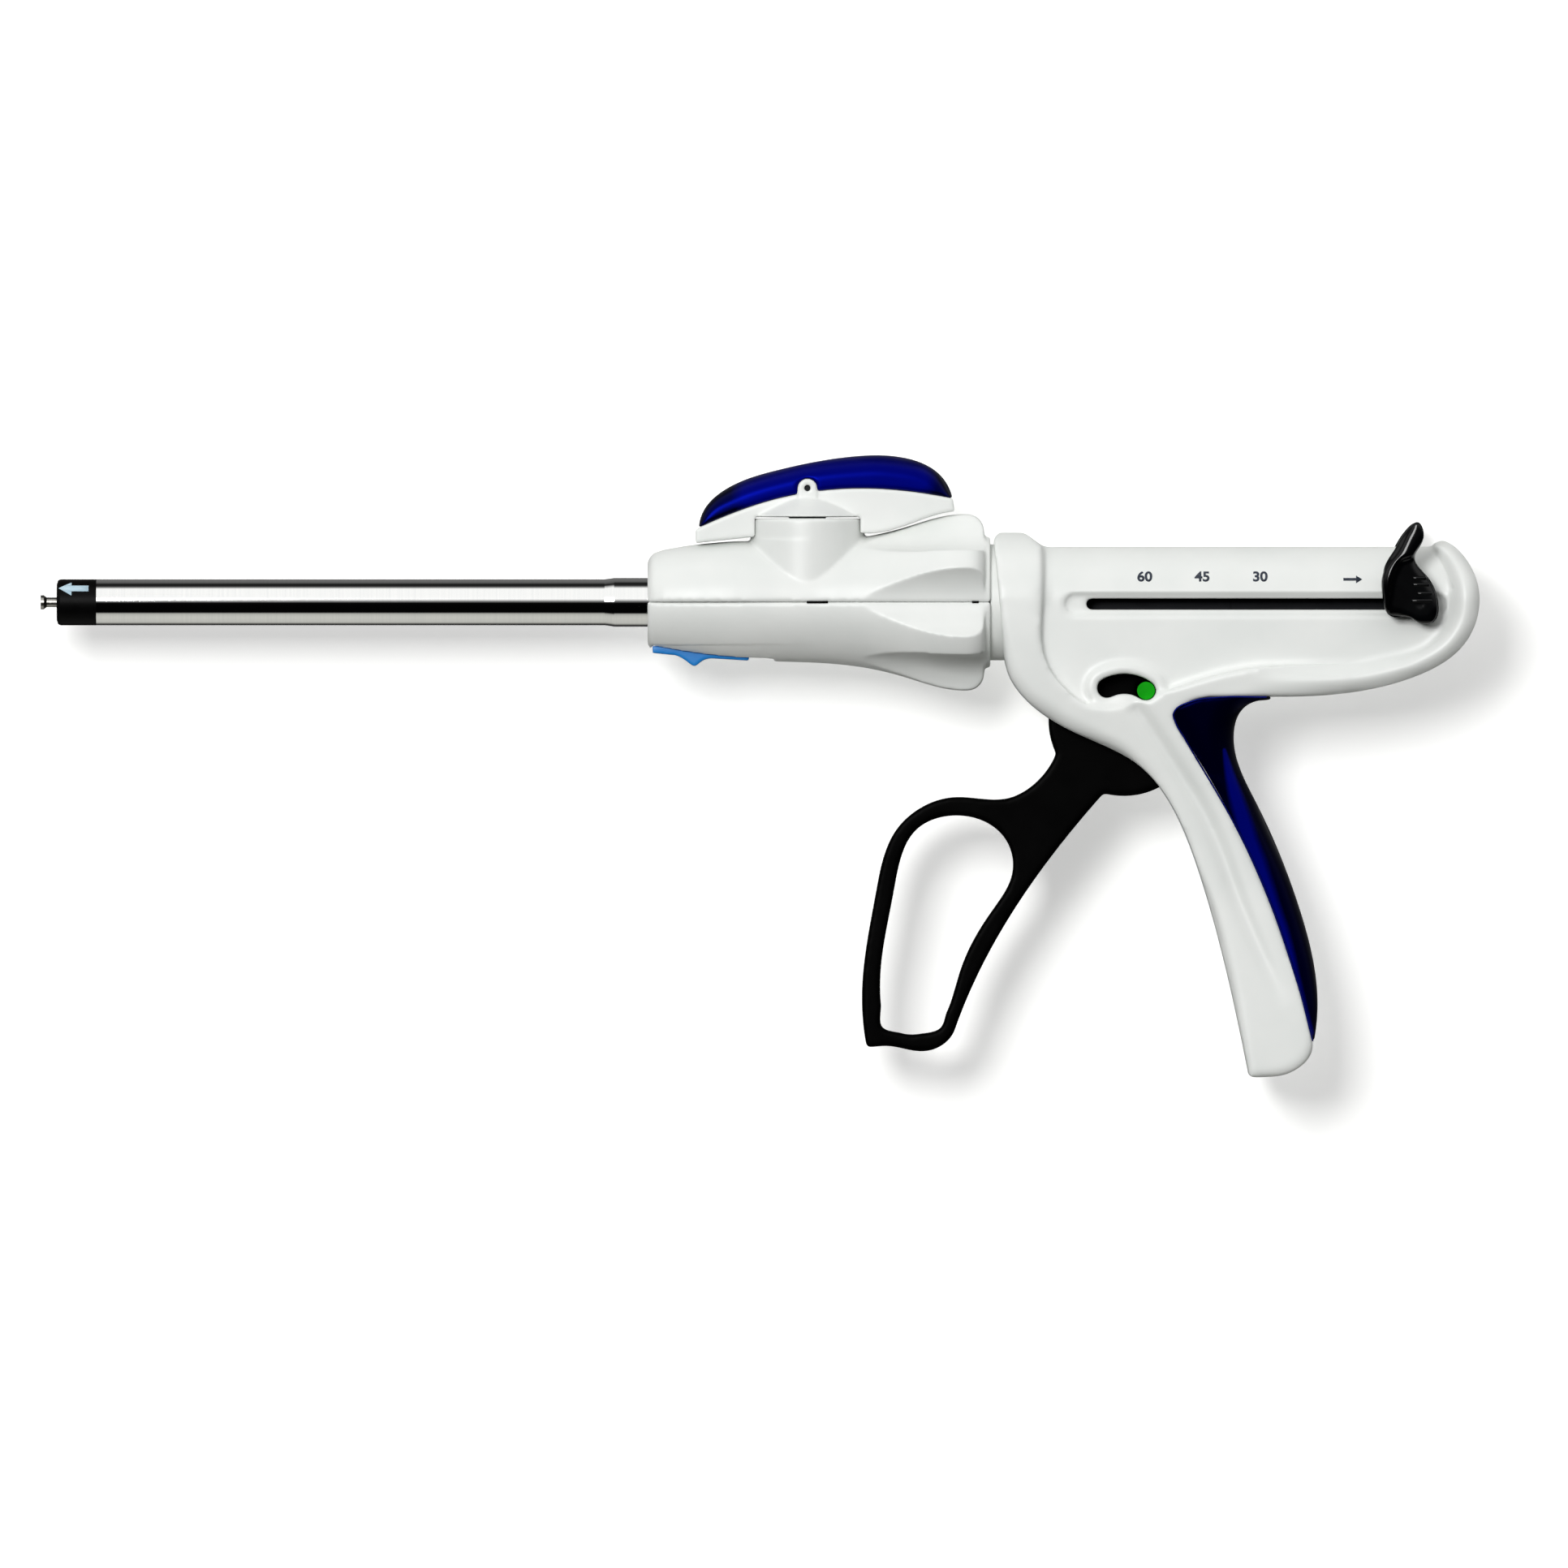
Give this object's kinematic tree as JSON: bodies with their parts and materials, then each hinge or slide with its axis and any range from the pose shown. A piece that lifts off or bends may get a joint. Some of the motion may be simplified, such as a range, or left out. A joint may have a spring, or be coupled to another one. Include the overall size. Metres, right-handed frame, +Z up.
{
  "type": "linear surgical stapler",
  "caption": "Linear surgical stapler with a pistol grip, squeeze trigger, fluted rotation knob, articulation lever, sliding retraction knobs and a slim steel shaft with a reload socket.",
  "frame": {"origin": "centre of the reload socket's mouth, on the shaft's axis", "axes": "+X back along the shaft towards the handle, +Z up with the grip pointing down, +Y across the grip"},
  "size_m": [0.3744, 0.0468, 0.1619],
  "materials": {
    "white_abs": "moulded, satin",
    "navy_elastomer": "moulded elastomer, satin",
    "navy_gloss": "moulded, gloss",
    "black_nylon": "moulded, fine texture",
    "black_gloss": "moulded, gloss",
    "black_socket": "anodised black",
    "polished_steel": "drawn and polished",
    "turned_steel": "turned",
    "plate_steel": "blanked",
    "black_oxide": "blackened",
    "spring_steel": "drawn wire",
    "inner_plastic": "moulded",
    "seal_rubber": "moulded",
    "blue_plastic": "moulded, gloss",
    "green_plastic": "moulded, gloss"
  },
  "bodies": {
    "handle": {"handle_shell_left": "white_abs", "handle_shell_right": "white_abs", "rear_grip": "navy_elastomer", "trigger_pivot_pin": "turned_steel", "stop_pawl_pin": "turned_steel", "rack_guide": "inner_plastic", "stop_pawl_spring": "spring_steel"},
    "knob": {"knob_upper": "white_abs", "knob_lower": "white_abs", "swivel_collar": "white_abs", "shaft_tube": "polished_steel", "reload_collar": "black_socket", "tube_anchor": "inner_plastic", "shaft_seal": "seal_rubber", "rod_guides": "inner_plastic", "unload_spring": "spring_steel"},
    "lever": {"lever_base": "white_abs", "lever_cap": "navy_gloss", "lever_cross_pin": "turned_steel", "articulation_cam": "inner_plastic", "lever_screw": "turned_steel"},
    "articulation": {"articulation_rod": "plate_steel", "follower_pin": "turned_steel"},
    "unload": {"unload_slider": "blue_plastic", "lock_bar": "plate_steel"},
    "trigger": {"trigger_handle": "black_nylon", "pawl_pin": "turned_steel", "trigger_return_spring": "spring_steel"},
    "drive_pawl": {"drive_pawl": "plate_steel"},
    "safety": {"safety_plunger": "inner_plastic", "safety_cap_left": "green_plastic", "safety_cap_right": "green_plastic"},
    "rack": {"rack_shaft": "black_oxide", "rod_retainer": "plate_steel", "release_plate": "black_oxide", "coupling_rod": "turned_steel", "retraction_knob_left": "black_gloss", "retraction_knob_right": "black_gloss"},
    "control_rod": {"control_rod": "turned_steel"},
    "stop_pawl": {"stop_pawl": "plate_steel"}
  },
  "joints": [
    {"name": "knob_spin", "type": "hinge", "parent": "handle", "child": "knob", "pos_m": [0.2, 0, 0], "axis": [1, 0, 0], "continuous": true},
    {"name": "lever_swing", "type": "hinge", "parent": "knob", "child": "lever", "pos_m": [0.1954, 0, 0.02], "axis": [0, 0, 1], "range_deg": [-45, 45]},
    {"name": "articulation_slide", "type": "slide", "parent": "knob", "child": "articulation", "axis": [1, 0, 0], "range_m": [-0.0019, 0.0019]},
    {"name": "unload_slide", "type": "slide", "parent": "knob", "child": "unload", "axis": [1, 0, 0], "range_m": [0, 0.006], "stiffness_N_per_m": 300, "springref_m": -0.003, "deforming": ["unload_spring"]},
    {"name": "trigger_pull", "type": "hinge", "parent": "handle", "child": "trigger", "pos_m": [0.2778, 0, -0.0308], "axis": [0, -1, 0], "range_deg": [0, 40], "stiffness_Nm_per_rad": 0.6, "springref_deg": -17.19, "deforming": ["trigger_return_spring"]},
    {"name": "drive_pawl_pivot", "type": "hinge", "parent": "trigger", "child": "drive_pawl", "pos_m": [0.28293, 0, -0.0167], "axis": [0, -1, 0], "range_deg": [-40, 0]},
    {"name": "safety_push", "type": "slide", "parent": "trigger", "child": "safety", "axis": [0, 1, 0], "range_m": [-0.002, 0.002], "stiffness_N_per_m": 400},
    {"name": "rack_slide", "type": "slide", "parent": "handle", "child": "rack", "axis": [1, 0, 0], "range_m": [-0.084, 0]},
    {"name": "control_rod_slide", "type": "slide", "parent": "knob", "child": "control_rod", "axis": [1, 0, 0], "range_m": [-0.084, 0]},
    {"name": "stop_pawl_pivot", "type": "hinge", "parent": "handle", "child": "stop_pawl", "pos_m": [0.304, 0, -0.014], "axis": [0, -1, 0], "range_deg": [0, 8], "stiffness_Nm_per_rad": 0.05, "springref_deg": -5.73, "deforming": ["stop_pawl_spring"]}
  ],
  "couplings": [
    {"joint": "articulation_slide", "follows": "lever_swing", "m_per_rad": -0.0024},
    {"joint": "drive_pawl_pivot", "follows": "trigger_pull", "ratio": -1},
    {"joint": "control_rod_slide", "follows": "rack_slide", "ratio": 1}
  ]
}
